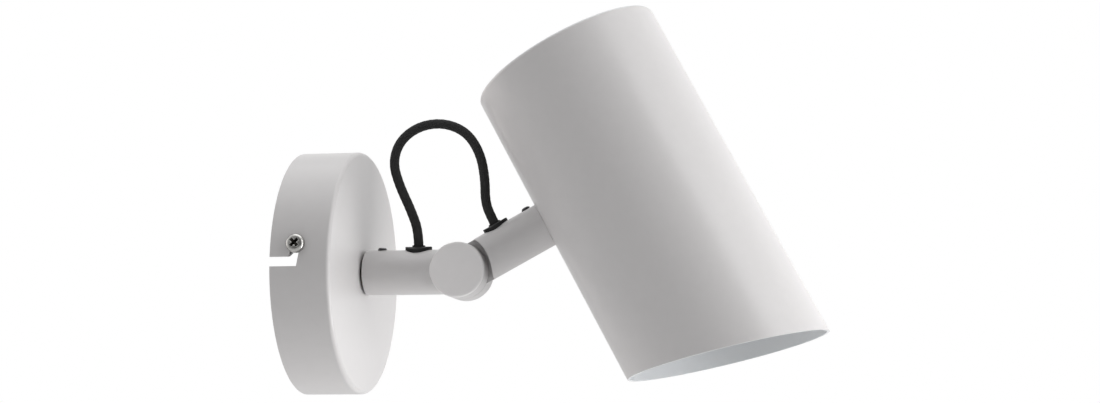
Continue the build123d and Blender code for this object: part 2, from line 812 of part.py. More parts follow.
with BuildPart() as saddle_washer:
    with BuildSketch(across_head(shade_distance)):
        Rectangle(holder_strip_width, holder_strip_width + 2)
        Circle(shank_diameter / 2 + bore_play, mode=Mode.SUBTRACT)
    extrude(amount=strip_face - shade_distance)
    with BuildSketch(across_shade(-holder_strip_width)):
        Circle(shade_radius - shade_wall - seat_play)
    extrude(amount=2 * holder_strip_width, mode=Mode.INTERSECT)
saddle_washer.part.label = "saddle_washer"
export_step(saddle_washer.part, "parts/saddle_washer.step")

strip_back = strip_face + holder_strip_thickness
with BuildPart() as head_nut:
    add(
        hex_nut(
            Plane(origin=head_point(strip_back, 0), x_dir=(0, 1, 0), z_dir=along_head),
            nut_across_flats,
            nut_thickness,
            shank_diameter,
        )
    )
head_nut.part.label = "head_nut"
export_step(head_nut.part, "parts/head_nut.step")

with BuildPart() as holder_bracket:
    strip_end = shade_reach + holder_screw_spacing / 2 + holder_head_diameter / 2 + 1.0
    with BuildSketch(head_plane):
        with BuildLine():
            Polyline(
                (strip_face, -holder_strip_drop),
                (strip_face, holder_top + holder_strip_thickness),
                (strip_end, holder_top + holder_strip_thickness),
                (strip_end, holder_top),
                (strip_back, holder_top),
                (strip_back, -holder_strip_drop),
                close=True,
            )
        make_face()
    extrude(amount=holder_strip_width / 2, both=True)
    bend = [
        edge
        for edge in holder_bracket.edges().filter_by(Axis.Y)
        if (edge.center() - head_point(strip_face, holder_top + holder_strip_thickness)).length < 0.1
    ]
    fillet(bend, radius=holder_strip_thickness)
    with BuildSketch(across_head(strip_face)):
        Circle(shank_diameter / 2 + bore_play)
    extrude(amount=holder_strip_thickness, mode=Mode.SUBTRACT)
    with BuildSketch(across_shade(holder_top)):
        with GridLocations(holder_screw_spacing, 0, 2, 1):
            Circle(holder_screw_diameter / 2 + bore_play)
    extrude(amount=holder_strip_thickness, mode=Mode.SUBTRACT)
holder_bracket.part.label = "holder_bracket"
export_step(holder_bracket.part, "parts/holder_bracket.step")

# ---------------------------------------------------------------- lampholder

holder_face = holder_top - holder_height
lead_entry = holder_top - lead_entry_drop
with BuildPart() as lampholder:
    with BuildSketch(across_shade(holder_face)):
        Circle(holder_diameter / 2)
    extrude(amount=holder_height)
    fillet(lampholder.edges().filter_by(GeomType.CIRCLE), radius=0.8)
    # two keyholes for the lamp's pins: drop in, then turn
    with BuildSketch(across_shade(holder_face)):
        with GridLocations(0, pin_spacing, 1, 2):
            Circle(pin_hole_diameter / 2)
        with BuildLine(mode=Mode.PRIVATE):
            turn_arc = CenterArc((0, 0), pin_spacing / 2, 90, pin_slot_angle)
        with PolarLocations(0, 2):
            SlotArc(turn_arc, pin_slot_width)
    extrude(amount=pin_hole_depth, mode=Mode.SUBTRACT)
    with BuildSketch(across_shade(holder_face)):
        with GridLocations(holder_screw_spacing, 0, 2, 1):
            Circle(holder_screw_diameter / 2 + bore_play)
    extrude(amount=holder_height, mode=Mode.SUBTRACT)
    with BuildSketch(across_shade(holder_face)):
        with GridLocations(holder_screw_spacing, 0, 2, 1):
            Circle(holder_head_diameter / 2 + bore_play)
    extrude(amount=holder_head_height, mode=Mode.SUBTRACT)
    # the two leads go in at the side
    with BuildSketch(across_head(shade_reach - holder_diameter / 2)):
        with Locations((0, lead_entry)):
            SlotCenterToCenter(2 * lead_offset, lead_diameter + 2 * bore_play)
    extrude(amount=lead_entry_depth, mode=Mode.SUBTRACT)
lampholder.part.label = "lampholder"
export_step(lampholder.part, "parts/lampholder.step")

with BuildPart() as lampholder_contacts:
    with BuildSketch(across_shade(holder_face + pin_hole_depth - seat_play)):
        with GridLocations(0, pin_spacing, 1, 2):
            Circle(pin_hole_diameter / 2 - 2 * bore_play)
    extrude(amount=-contact_thickness)
lampholder_contacts.part.label = "lampholder_contacts"
export_step(lampholder_contacts.part, "parts/lampholder_contacts.step")

with BuildPart() as holder_screws:
    screw_length = holder_height - holder_head_height + holder_strip_thickness + holder_nut_thickness
    for offset_along in (-holder_screw_spacing / 2, holder_screw_spacing / 2):
        add(
            pan_screw(
                Plane(
                    origin=head_point(shade_reach + offset_along, holder_face + holder_head_height),
                    x_dir=along_head,
                    z_dir=-up_shade,
                ),
                holder_screw_diameter,
                holder_head_diameter,
                holder_head_height * 0.8,
                screw_length + holder_screw_end,
            )
        )
holder_screws.part.label = "holder_screws"
export_step(holder_screws.part, "parts/holder_screws.step")

with BuildPart() as holder_nuts:
    for offset_along in (-holder_screw_spacing / 2, holder_screw_spacing / 2):
        add(
            hex_nut(
                Plane(
                    origin=head_point(shade_reach + offset_along, holder_top + holder_strip_thickness),
                    x_dir=along_head,
                    z_dir=up_shade,
                ),
                holder_nut_across_flats,
                holder_nut_thickness,
                holder_screw_diameter,
            )
        )
holder_nuts.part.label = "holder_nuts"
export_step(holder_nuts.part, "parts/holder_nuts.step")

# Two leads run from the cable's end to the side of the lampholder
with BuildPart() as holder_leads:
    cable_end = inner_wall_reach + head_cable_tail
    lead_stop = shade_reach - holder_diameter / 2 + 0.75 * lead_entry_depth
    for side in (-lead_offset, lead_offset):
        with BuildLine(head_plane.offset(side)) as lead_line:
            FilletPolyline(
                (cable_end, 0),
                (cable_end + lead_straight, 0),
                (lead_stop - lead_straight, lead_entry),
                (lead_stop, lead_entry),
                radius=[lead_bend, lead_bend],
            )
        with BuildSketch(Plane(origin=lead_line.line @ 0, z_dir=lead_line.line % 0)):
            Circle(lead_diameter / 2)
        sweep(path=lead_line.line)
holder_leads.part.label = "holder_leads"
export_step(holder_leads.part, "parts/holder_leads.step")

# ---------------------------------------------------------------- terminal block and earthing

block_face = bracket_thickness + block_depth
pole_offsets = (-pole_spacing / 2, pole_spacing / 2)
screw_rows = (-terminal_screw_spacing / 2, terminal_screw_spacing / 2)

with BuildPart() as terminal_block:
    with BuildSketch(across_arm(bracket_thickness)):
        with Locations((0, -block_centre)):
            RectangleRounded(block_width, block_height, 1.0)
    extrude(amount=block_depth)
    # wire holes for the brass tubes
    with BuildSketch(Plane.XY.offset(-block_centre - block_height / 2)):
        with Locations(*[(pole_reach, offset_across) for offset_across in pole_offsets]):
            Circle(terminal_tube_diameter / 2 + bore_play)
    extrude(amount=block_height, mode=Mode.SUBTRACT)
    # wells over the terminal screws, and the fixing hole between the poles
    with BuildSketch(across_arm(block_face)):
        for row in screw_rows:
            with Locations(*[(offset_across, row - block_centre) for offset_across in pole_offsets]):
                Circle(terminal_screw_diameter / 2 + 0.3)
    extrude(amount=-(block_face - pole_reach), mode=Mode.SUBTRACT)
    with BuildSketch(across_arm(block_face)):
        with Locations((0, -block_centre)):
            Circle(terminal_screw_diameter / 2 + bore_play)
    extrude(amount=-block_depth, mode=Mode.SUBTRACT)
terminal_block.part.label = "terminal_block"
export_step(terminal_block.part, "parts/terminal_block.step")

with BuildPart() as terminal_tubes:
    with BuildSketch(Plane.XY.offset(-block_centre - block_height / 2 + 0.5)):
        with Locations(*[(pole_reach, offset_across) for offset_across in pole_offsets]):
            Circle(terminal_tube_diameter / 2)
            Circle(terminal_bore / 2, mode=Mode.SUBTRACT)
    extrude(amount=block_height - 1.0)
    with BuildSketch(across_arm(block_face)):
        for row in screw_rows:
            with Locations(*[(offset_across, row - block_centre) for offset_across in pole_offsets]):
                Circle(terminal_screw_diameter / 2 + thread_play)
    extrude(amount=-(block_face - pole_reach), mode=Mode.SUBTRACT)
terminal_tubes.part.label = "terminal_tubes"
export_step(terminal_tubes.part, "parts/terminal_tubes.step")

with BuildPart() as terminal_screws:
    with BuildSketch(across_arm(pole_reach + terminal_bore / 2)):
        for row in screw_rows:
            with Locations(*[(offset_across, row - block_centre) for offset_across in pole_offsets]):
                Circle(terminal_screw_diameter / 2)
    extrude(amount=3.5)
    with BuildSketch(across_arm(pole_reach + terminal_bore / 2 + 3.5)):
        for row in screw_rows:
            with Locations(*[(offset_across, row - block_centre) for offset_across in pole_offsets]):
                Rectangle(terminal_screw_diameter, 0.6)
    extrude(amount=-1.0, mode=Mode.SUBTRACT)
terminal_screws.part.label = "terminal_screws"
export_step(terminal_screws.part, "parts/terminal_screws.step")

with BuildPart() as block_screw:
    add(
        pan_screw(
            Plane(origin=(block_face, 0, -block_centre), x_dir=(0, 1, 0), z_dir=(1, 0, 0)),
            terminal_screw_diameter,
            terminal_screw_diameter * 1.4,
            1.6,
            block_depth + bracket_thickness * 0.8,
        )
    )
block_screw.part.label = "block_screw"
export_step(block_screw.part, "parts/block_screw.step")

tag_face = bracket_thickness + earth_tag_thickness
with BuildPart() as earth_screw:
    add(
        pan_screw(
            Plane(origin=(tag_face, 0, earth_height), x_dir=(0, 1, 0), z_dir=(1, 0, 0)),
            earth_screw_diameter,
            earth_head_diameter,
            earth_head_height,
            tag_face - 0.2,
        )
    )
earth_screw.part.label = "earth_screw"
export_step(earth_screw.part, "parts/earth_screw.step")

# Ring tag with a crimped barrel that holds the earth lead
barrel_radius = lead_diameter / 2 + earth_tag_thickness
barrel_axis = tag_face + lead_diameter / 2 + 0.1
barrel_bottom = earth_height - earth_tag_diameter / 2 - earth_barrel_length
with BuildPart() as earth_tag:
    with BuildSketch(across_arm(bracket_thickness)):
        with Locations((0, earth_height)):
            Circle(earth_tag_diameter / 2)
        with Locations((0, (barrel_bottom + earth_height) / 2)):
            Rectangle(2 * barrel_radius, earth_height - barrel_bottom)
        with Locations((0, earth_height)):
            Circle(earth_screw_diameter / 2 + bore_play, mode=Mode.SUBTRACT)
    extrude(amount=earth_tag_thickness)
    with BuildSketch(Plane.XY.offset(barrel_bottom)):
        with Locations((barrel_axis, 0)):
            Circle(barrel_radius)
        with Locations((barrel_axis - barrel_radius, 0)):
            Rectangle(2 * (barrel_radius - barrel_axis + bracket_thickness), 8, mode=Mode.SUBTRACT)
    extrude(amount=earth_barrel_length)
    with BuildSketch(Plane.XY.offset(barrel_bottom)):
        with Locations((barrel_axis, 0)):
            Circle(lead_diameter / 2 + bore_play / 2)
    extrude(amount=earth_barrel_length, mode=Mode.SUBTRACT)
earth_tag.part.label = "earth_tag"
export_step(earth_tag.part, "parts/earth_tag.step")

with BuildPart() as earth_lead:
    with BuildLine(side_plane) as earth_line:
        FilletPolyline(
            (cable_tail, earth_rise),
            (barrel_axis, earth_rise),
            (barrel_axis, barrel_bottom + earth_barrel_length),
            radius=[lead_bend],
        )
    with BuildSketch(across_arm(cable_tail)):
        with Locations((0, earth_rise)):
            Circle(lead_diameter / 2)
    sweep(path=earth_line.line)
earth_lead.part.label = "earth_lead"
export_step(earth_lead.part, "parts/earth_lead.step")

# The live leads turn down at the cable's end and run into the block's two poles
lead_end = -block_centre + block_height / 2 - 2.0
with BuildPart() as canopy_leads:
    for side in (-1, 1):
        down = Vector(0, side * (pole_spacing / 2 - lead_offset), lead_end + lead_drop)
        lead_plane = Plane(
            origin=(pole_reach, side * lead_offset, -lead_drop),
            x_dir=(1, 0, 0),
            z_dir=Vector(1, 0, 0).cross(down),
        )
        with BuildLine(lead_plane) as lead_line:
            FilletPolyline(
                (cable_tail - pole_reach, 0),
                (0, 0),
                (0, down.length),
                radius=[lead_bend],
            )
        with BuildSketch(across_arm(cable_tail)):
            with Locations((side * lead_offset, -lead_drop)):
                Circle(lead_diameter / 2)
        sweep(path=lead_line.line)
canopy_leads.part.label = "canopy_leads"
export_step(canopy_leads.part, "parts/canopy_leads.step")
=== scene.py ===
"""Looks of a pivoting spotlight wall light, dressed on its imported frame.

Metres; +X points out of the wall and +Z up.
"""

from math import cos, floor, pi, radians, sin

import bmesh
import bpy
from mathutils import Matrix, Vector


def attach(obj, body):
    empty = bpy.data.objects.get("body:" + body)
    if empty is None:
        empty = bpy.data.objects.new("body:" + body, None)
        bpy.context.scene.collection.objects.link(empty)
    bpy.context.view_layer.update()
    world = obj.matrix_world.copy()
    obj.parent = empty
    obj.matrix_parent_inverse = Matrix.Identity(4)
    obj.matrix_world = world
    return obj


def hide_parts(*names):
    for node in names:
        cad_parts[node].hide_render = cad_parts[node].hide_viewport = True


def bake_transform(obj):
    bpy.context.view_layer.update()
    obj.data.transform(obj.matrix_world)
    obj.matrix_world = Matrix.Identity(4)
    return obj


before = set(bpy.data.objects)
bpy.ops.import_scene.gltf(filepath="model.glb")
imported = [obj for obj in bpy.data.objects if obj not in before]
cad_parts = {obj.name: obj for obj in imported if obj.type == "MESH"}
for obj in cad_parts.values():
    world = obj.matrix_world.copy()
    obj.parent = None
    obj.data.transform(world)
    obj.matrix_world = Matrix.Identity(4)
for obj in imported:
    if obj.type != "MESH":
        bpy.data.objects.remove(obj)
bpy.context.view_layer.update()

# ---------------------------------------------------------------------------------------------
# Camera: the photograph was taken with a long lens, from a little to the right of the light and
# a little below it. Its focal length in picture widths gives the lens on a 36 mm sensor.
camera_place = Vector((0.2790, -0.8575, -0.0886))
camera_azimuth = radians(11.633)
camera_elevation = radians(-7.603)
camera_roll = radians(0.306)
focal_widths = 2161.1 / 1100
sensor_width = 36

looking = Vector((
    -sin(camera_azimuth) * cos(camera_elevation),
    cos(camera_azimuth) * cos(camera_elevation),
    -sin(camera_elevation),
))
level_right = Vector((cos(camera_azimuth), sin(camera_azimuth), 0))
level_up = level_right.cross(looking)
picture_right = cos(camera_roll) * level_right + sin(camera_roll) * level_up
picture_up = cos(camera_roll) * level_up - sin(camera_roll) * level_right

camera = bpy.data.objects.new("camera", bpy.data.cameras.new("camera"))
bpy.context.collection.objects.link(camera)
camera.data.sensor_width = sensor_width
camera.data.lens = sensor_width * focal_widths
camera.data.clip_start = 0.01
camera.matrix_world = Matrix.Translation(camera_place) @ Matrix(
    (picture_right, picture_up, -looking)
).transposed().to_4x4()
bpy.context.scene.camera = camera

# ---------------------------------------------------------------------------------------------
# Cable: a 4 mm round flex with a woven black textile cover. It leaves the arm through one rubber
# grommet, loops freely over the knuckle and goes into the head through the other.
cable_diameter = 0.0040
braid_strands = 10
braid_cell = 0.0013  # along the cable, where two strands cross
braid_relief = 0.00016
braid_dip = 0.65  # part of a strand's height that it loses where it passes under another
cable_sides = 60
loop_step = 0.0002  # between the loop's rings of points
hidden_step = 0.0003  # between those of the stretches in the tubes

# the free loop's route, as in the source: its first two points stand in the arm's grommet and
# its last two in the head's
loop_route = [
    (0.0473, 0, 0.00825),
    (0.0473, 0, 0.0165),
    (0.0437, 0, 0.0260),
    (0.0388, 0, 0.0360),
    (0.0356, 0, 0.0460),
    (0.0386, 0, 0.0553),
    (0.0470, 0, 0.0612),
    (0.0575, 0, 0.0622),
    (0.0672, 0, 0.0580),
    (0.0730, 0, 0.0490),
    (0.0751, 0, 0.0385),
    (0.0753, 0, 0.0285),
    (0.07795, 0, 0.02216),
    (0.08056, 0, 0.01732),
]

# the stretches inside the arm and inside the head
arm_route = [
    (0.0140, 0, 0),
    (0.0300, 0, 0),
    (0.0413, 0, 0),
    (0.0473, 0, 0),
    (0.0473, 0, 0.0045),
    (0.0473, 0, 0.00825),
]
head_route = [
    (0.08056, 0, 0.01732),
    (0.08234, 0, 0.01401),
    (0.08447, 0, 0.01005),
    (0.08975, 0, 0.01290),
    (0.0990, 0, 0.01788),
    (0.10907, 0, 0.02330),
]


def smooth_line(route):
    """Points that follow a route's NURBS curve, ends included."""
    data = bpy.data.curves.new("route", "CURVE")
    data.dimensions = "3D"
    data.resolution_u = 24
    spline = data.splines.new("NURBS")
    spline.points.add(len(route) - 1)
    for point, place in zip(spline.points, route):
        point.co = (*place, 1)
    spline.order_u = 3
    spline.use_endpoint_u = True
    carrier = bpy.data.objects.new("route", data)
    bpy.context.collection.objects.link(carrier)
    bpy.context.view_layer.update()
    drawn = bpy.data.meshes.new_from_object(carrier)
    line = [vertex.co.copy() for vertex in drawn.vertices]
    bpy.data.objects.remove(carrier)
    bpy.data.meshes.remove(drawn)
    return line


def length_of(line):
    """Length of a line of points."""
    return sum((b - a).length for a, b in zip(line, line[1:]))


def even_steps(line, step):
    """The same line with its points evenly spaced, about one step apart."""
    total = length_of(line)
    count = max(2, round(total / step))
    spots, walked, leg = [line[0].copy()], 0.0, 0
    for i in range(1, count):
        target = total * i / count
        while walked + (line[leg + 1] - line[leg]).length < target:
            walked += (line[leg + 1] - line[leg]).length
            leg += 1
        run = line[leg + 1] - line[leg]
        spots.append(line[leg] + run * ((target - walked) / run.length))
    return spots + [line[-1].copy()]


def add_piece(name, mesh, smooth=True):
    """A new piece of the object made of one mesh."""
    mesh.polygons.foreach_set("use_smooth", [smooth] * len(mesh.polygons))
    piece = bpy.data.objects.new(name, mesh)
    bpy.context.collection.objects.link(piece)
    return piece


def tube_mesh(name, line, sides, radius_at):
    """Closed tube along a line; radius_at gives the radius at an angle and a length along it."""
    mesh = bpy.data.meshes.new(name)
    rings, faces = [], []
    along = 0.0
    side = (line[1] - line[0]).orthogonal().normalized()
    for i, spot in enumerate(line):
        if i:
            along += (spot - line[i - 1]).length
        ahead = (line[min(i + 1, len(line) - 1)] - line[max(i - 1, 0)]).normalized()
        side = (side - ahead * side.dot(ahead)).normalized()
        across = ahead.cross(side)
        for j in range(sides):
            angle = 2 * pi * j / sides
            rings.append(
                spot + (side * cos(angle) + across * sin(angle)) * radius_at(angle, along)
            )
    for i in range(len(line) - 1):
        for j in range(sides):
            k = (j + 1) % sides
            faces.append((i * sides + j, i * sides + k, (i + 1) * sides + k, (i + 1) * sides + j))
    faces.append(tuple(reversed(range(sides))))
    faces.append(tuple((len(line) - 1) * sides + j for j in range(sides)))
    mesh.from_pydata(rings, [], faces)
    mesh.update()
    return mesh


def braid_radius(angle, along):
    """Radius of the woven cover: strands wind both ways round and pass over and under in turn."""
    turn = braid_strands * angle / (2 * pi)
    right, left = turn + along / braid_cell / 2, turn - along / braid_cell / 2
    i, j = floor(right), floor(left)
    right_strand = 1 - (2 * (right - i) - 1) ** 2
    left_strand = 1 - (2 * (left - j) - 1) ** 2
    lift = 0.5 + 0.5 * cos(pi * (left - 0.5 + i))
    height = max(
        right_strand * (1 - braid_dip + braid_dip * lift), left_strand * (1 - braid_dip * lift)
    )
    return cable_diameter / 2 - braid_relief * (1 - height)


def hex_colour(code):
    """Linear RGBA of an sRGB hex colour."""
    values = [int(code[i:i + 2], 16) / 255 for i in (1, 3, 5)]
    return (*[v / 12.92 if v <= 0.04045 else ((v + 0.055) / 1.055) ** 2.4 for v in values], 1)


def add_node(material, kind, inputs=None, **settings):
    """Add a node with its settings; inputs are values for its sockets, or outputs to link there.

    A colour mix has its factor at socket 0, its colours at 6 and 7 and its result at output 2.
    """
    made = material.node_tree.nodes.new(kind)
    for name, value in settings.items():
        setattr(made, name, value)
    for socket, value in (inputs or {}).items():
        if isinstance(value, bpy.types.NodeSocket):
            material.node_tree.links.new(value, made.inputs[socket])
        else:
            made.inputs[socket].default_value = value
    return made


def new_material(name):
    """An empty node material."""
    material = bpy.data.materials.new(name)
    material.use_nodes = True
    material.node_tree.nodes.clear()
    return material


def cover(piece, material):
    """Give every face of a piece or CAD node one material."""
    if not piece.material_slots:
        piece.data.materials.append(material)
    for material_slot in piece.material_slots:
        material_slot.material = material


# Woven polyester yarn: black, without gloss; its lighter flecks are painted sheen, where the
# fibres catch the light. The yarn's own fibres are finer than the render shows, so the flecks are
# drawn
# 0.4 mm long.
woven_yarn = new_material("woven polyester yarn")
place = add_node(woven_yarn, "ShaderNodeTexCoord")
fibres = add_node(
    woven_yarn,
    "ShaderNodeTexNoise",
    {"Vector": place.outputs["Object"], "Scale": 1 / 0.0004, "Detail": 3},
)
# the lighter flecks are painted sheen
tint = add_node(
    woven_yarn,
    "ShaderNodeMix",
    {0: fibres.outputs["Fac"], 6: hex_colour("#030303"), 7: hex_colour("#454545")},
    data_type="RGBA",
)
fuzz = add_node(
    woven_yarn,
    "ShaderNodeBump",
    {"Height": fibres.outputs["Fac"], "Strength": 0.5, "Distance": 0.00005},
)
cloth = add_node(
    woven_yarn,
    "ShaderNodeBsdfPrincipled",
    {
        "Base Color": tint.outputs[2],
        "Roughness": 0.85,
        "Specular IOR Level": 0.2,
        "Normal": fuzz.outputs["Normal"],
    },
)
add_node(woven_yarn, "ShaderNodeOutputMaterial", {"Surface": cloth.outputs["BSDF"]})

loop_line = even_steps(smooth_line(loop_route), loop_step)
cable = add_piece(
    "braided_cable", tube_mesh("braided_cable", loop_line, cable_sides, braid_radius)
)
cover(cable, woven_yarn)
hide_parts("cable_loop")
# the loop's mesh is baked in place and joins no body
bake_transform(cable)

for route, stretch, node, body in (
    (arm_route, "cable_in_arm", "arm_cable", "arm"),
    (head_route, "cable_in_head", "head_cable", "head"),
):
    line = even_steps(smooth_line(route), hidden_step)
    inner = add_piece(stretch, tube_mesh(stretch, line, cable_sides, braid_radius))
    cover(inner, woven_yarn)
    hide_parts(node)
    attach(inner, body)

# ---------------------------------------------------------------------------------------------
# Grommets: two small rings of moulded black rubber, pushed into round holes in the tubes. The
# flange follows the tube's curve and the lip behind it snaps into the bore.

# Moulded rubber: near black, with a dull shine and the faint grain of the mould.
moulded_rubber = new_material("moulded rubber")
place = add_node(moulded_rubber, "ShaderNodeTexCoord")
grain = add_node(
    moulded_rubber,
    "ShaderNodeTexNoise",
    {"Vector": place.outputs["Object"], "Scale": 1 / 0.0003, "Detail": 2},
)
relief = add_node(
    moulded_rubber,
    "ShaderNodeBump",
    {"Height": grain.outputs["Fac"], "Strength": 0.25, "Distance": 0.00002},
)
tint = add_node(
    moulded_rubber,
    "ShaderNodeMix",
    {0: grain.outputs["Fac"], 6: hex_colour("#131313"), 7: hex_colour("#1f1f1f")},
    data_type="RGBA",
)
rubber = add_node(
    moulded_rubber,
    "ShaderNodeBsdfPrincipled",
    {
        "Base Color": tint.outputs[2],
        "Roughness": 0.6,
        "Specular IOR Level": 0.3,
        "Normal": relief.outputs["Normal"],
    },
)
add_node(moulded_rubber, "ShaderNodeOutputMaterial", {"Surface": rubber.outputs["BSDF"]})
for node in ("arm_grommet", "head_grommet"):
    cover(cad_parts[node], moulded_rubber)

# ---------------------------------------------------------------------------------------------
# Wall bracket: a strap of 1.5 mm steel sheet, blanked, bent and zinc plated, with two slots for
# the wall screws and two tapped ears that carry the canopy.

# Bright zinc plating: a cool grey metal with soft cloudy patches from the plating bath.
zinc_plate = new_material("bright zinc plating")
place = add_node(zinc_plate, "ShaderNodeTexCoord")
clouds = add_node(
    zinc_plate,
    "ShaderNodeTexNoise",
    {"Vector": place.outputs["Object"], "Scale": 1 / 0.006, "Detail": 4},
)
tint = add_node(
    zinc_plate,
    "ShaderNodeMix",
    {0: clouds.outputs["Fac"], 6: hex_colour("#a9adb1"), 7: hex_colour("#c9ccce")},
    data_type="RGBA",
)
gloss = add_node(
    zinc_plate,
    "ShaderNodeMapRange",
    {"Value": clouds.outputs["Fac"], "To Min": 0.24, "To Max": 0.42},
)
plate = add_node(
    zinc_plate,
    "ShaderNodeBsdfPrincipled",
    {"Base Color": tint.outputs[2], "Metallic": 1.0, "Roughness": gloss.outputs["Result"]},
)
add_node(zinc_plate, "ShaderNodeOutputMaterial", {"Surface": plate.outputs["BSDF"]})
for node in ("wall_bracket", "block_screw", "terminal_screws", "bush_washer"):
    cover(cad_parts[node], zinc_plate)

# ---------------------------------------------------------------------------------------------
# Terminal block: two poles in white polyamide. Its brass tubes take the wires, and the earth
# wire has a brass tag of its own under an earth screw in the bracket.

# Polyamide, injection moulded: warm white with a silky surface.
white_polyamide = new_material("moulded polyamide")
place = add_node(white_polyamide, "ShaderNodeTexCoord")
silk = add_node(
    white_polyamide,
    "ShaderNodeTexNoise",
    {"Vector": place.outputs["Object"], "Scale": 1 / 0.0004, "Detail": 2},
)
relief = add_node(
    white_polyamide,
    "ShaderNodeBump",
    {"Height": silk.outputs["Fac"], "Strength": 0.2, "Distance": 0.00002},
)
tint = add_node(
    white_polyamide,
    "ShaderNodeMix",
    {0: silk.outputs["Fac"], 6: hex_colour("#dedbd0"), 7: hex_colour("#e8e5dc")},
    data_type="RGBA",
)
moulding = add_node(
    white_polyamide,
    "ShaderNodeBsdfPrincipled",
    {"Base Color": tint.outputs[2], "Roughness": 0.5, "Normal": relief.outputs["Normal"]},
)
add_node(white_polyamide, "ShaderNodeOutputMaterial", {"Surface": moulding.outputs["BSDF"]})
cover(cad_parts["terminal_block"], white_polyamide)

# Turned brass: warm yellow metal with fine tool marks round each turned part.
turned_brass = new_material("turned brass")
place = add_node(turned_brass, "ShaderNodeTexCoord")
marks = add_node(
    turned_brass,
    "ShaderNodeTexNoise",
    {"Vector": place.outputs["Object"], "Scale": 1 / 0.0005, "Detail": 3},
)
tint = add_node(
    turned_brass,
    "ShaderNodeMix",
    {0: marks.outputs["Fac"], 6: hex_colour("#b8954f"), 7: hex_colour("#d0b06a")},
    data_type="RGBA",
)
gloss = add_node(
    turned_brass,
    "ShaderNodeMapRange",
    {"Value": marks.outputs["Fac"], "To Min": 0.2, "To Max": 0.36},
)
brass = add_node(
    turned_brass,
    "ShaderNodeBsdfPrincipled",
    {"Base Color": tint.outputs[2], "Metallic": 1.0, "Roughness": gloss.outputs["Result"]},
)
add_node(turned_brass, "ShaderNodeOutputMaterial", {"Surface": brass.outputs["BSDF"]})
for node in (
    "terminal_tubes",
    "earth_screw",
    "earth_tag",
    "bush_nut",
    "head_bush",
    "head_nut",
    "lampholder_contacts",
):
    cover(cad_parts[node], turned_brass)

# ---------------------------------------------------------------------------------------------
# Leads in the canopy: the flex's brown and blue cores go to the terminal block and its green and
# yellow core to the earth tag. Each is stranded copper in a soft extruded sleeve.
lead_diameter = 0.0018
lead_sides = 28
lead_step = 0.0004
lead_strands = 7  # outer strands that show through the sleeve as lobes
lead_lobe = 0.015  # height of a lobe, as a share of the radius
lead_lay = 0.0012  # length along the lead in which the strands wind one radian


# Extruded sleeve of PVC or silicone: even colour with a soft gloss. The halves on either side of
# the middle plane differ: widely on the earth core, which is striped, and hardly on the others.
def sleeve_material(name, colour, second_colour):
    """Sleeve in two colours, one on each side of the middle plane."""
    sleeve = new_material(name)
    place = add_node(sleeve, "ShaderNodeTexCoord")
    apart = add_node(sleeve, "ShaderNodeSeparateXYZ", {"Vector": place.outputs["Object"]})
    stripe = add_node(
        sleeve, "ShaderNodeMath", {0: apart.outputs["Y"], 1: 0.0}, operation="GREATER_THAN"
    )
    tint = add_node(
        sleeve,
        "ShaderNodeMix",
        {0: stripe.outputs["Value"], 6: hex_colour(colour), 7: hex_colour(second_colour)},
        data_type="RGBA",
    )
    pvc = add_node(
        sleeve, "ShaderNodeBsdfPrincipled", {"Base Color": tint.outputs[2], "Roughness": 0.4}
    )
    add_node(sleeve, "ShaderNodeOutputMaterial", {"Surface": pvc.outputs["BSDF"]})
    return sleeve


def lead_radius(angle, along):
    """A lead's sleeve is slightly lobed by the strands inside it."""
    return lead_diameter / 2 * (
        1 - lead_lobe + lead_lobe * cos(lead_strands * angle + along / lead_lay)
    )


brown_sleeve = sleeve_material("brown PVC sleeve", "#5a3520", "#5f3923")
blue_sleeve = sleeve_material("blue PVC sleeve", "#27508f", "#2b5696")
earth_sleeve = sleeve_material("green and yellow PVC sleeve", "#3f8a3a", "#d8c637")
canopy_leads = [
    (
        "brown_lead_in_canopy",
        brown_sleeve,
        [
            (0.0140, -0.0010, -0.0006),
            (0.0110, -0.0010, -0.0006),
            (0.0080, -0.0010, -0.0006),
            (0.0080, -0.0018, -0.0038),
            (0.0080, -0.0041, -0.0129),
        ],
    ),
    (
        "blue_lead_in_canopy",
        blue_sleeve,
        [
            (0.0140, 0.0010, -0.0006),
            (0.0110, 0.0010, -0.0006),
            (0.0080, 0.0010, -0.0006),
            (0.0080, 0.0018, -0.0038),
            (0.0080, 0.0041, -0.0129),
        ],
    ),
]
for name, sleeve, route in canopy_leads:
    lead = add_piece(
        name, tube_mesh(name, even_steps(smooth_line(route), lead_step), lead_sides, lead_radius)
    )
    cover(lead, sleeve)
    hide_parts("canopy_leads")
    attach(lead, "wall_mount")
earth_route = [
    (0.0140, 0, 0.00115),
    (0.0090, 0, 0.00115),
    (0.0033, 0, 0.00115),
    (0.0033, 0, 0.0060),
    (0.0033, 0, 0.0114),
]
earth_lead = add_piece(
    "earth_core",
    tube_mesh(
        "earth_core", even_steps(smooth_line(earth_route), lead_step), lead_sides, lead_radius
    ),
)
cover(earth_lead, earth_sleeve)
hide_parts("earth_lead")
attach(earth_lead, "wall_mount")

# ---------------------------------------------------------------------------------------------
# Canopy: a round cup, deep drawn from 1 mm steel sheet, with two L-shaped slots cut in its rim.
# It is powder coated in a light grey, as are the arm, the head's stem and the shade.


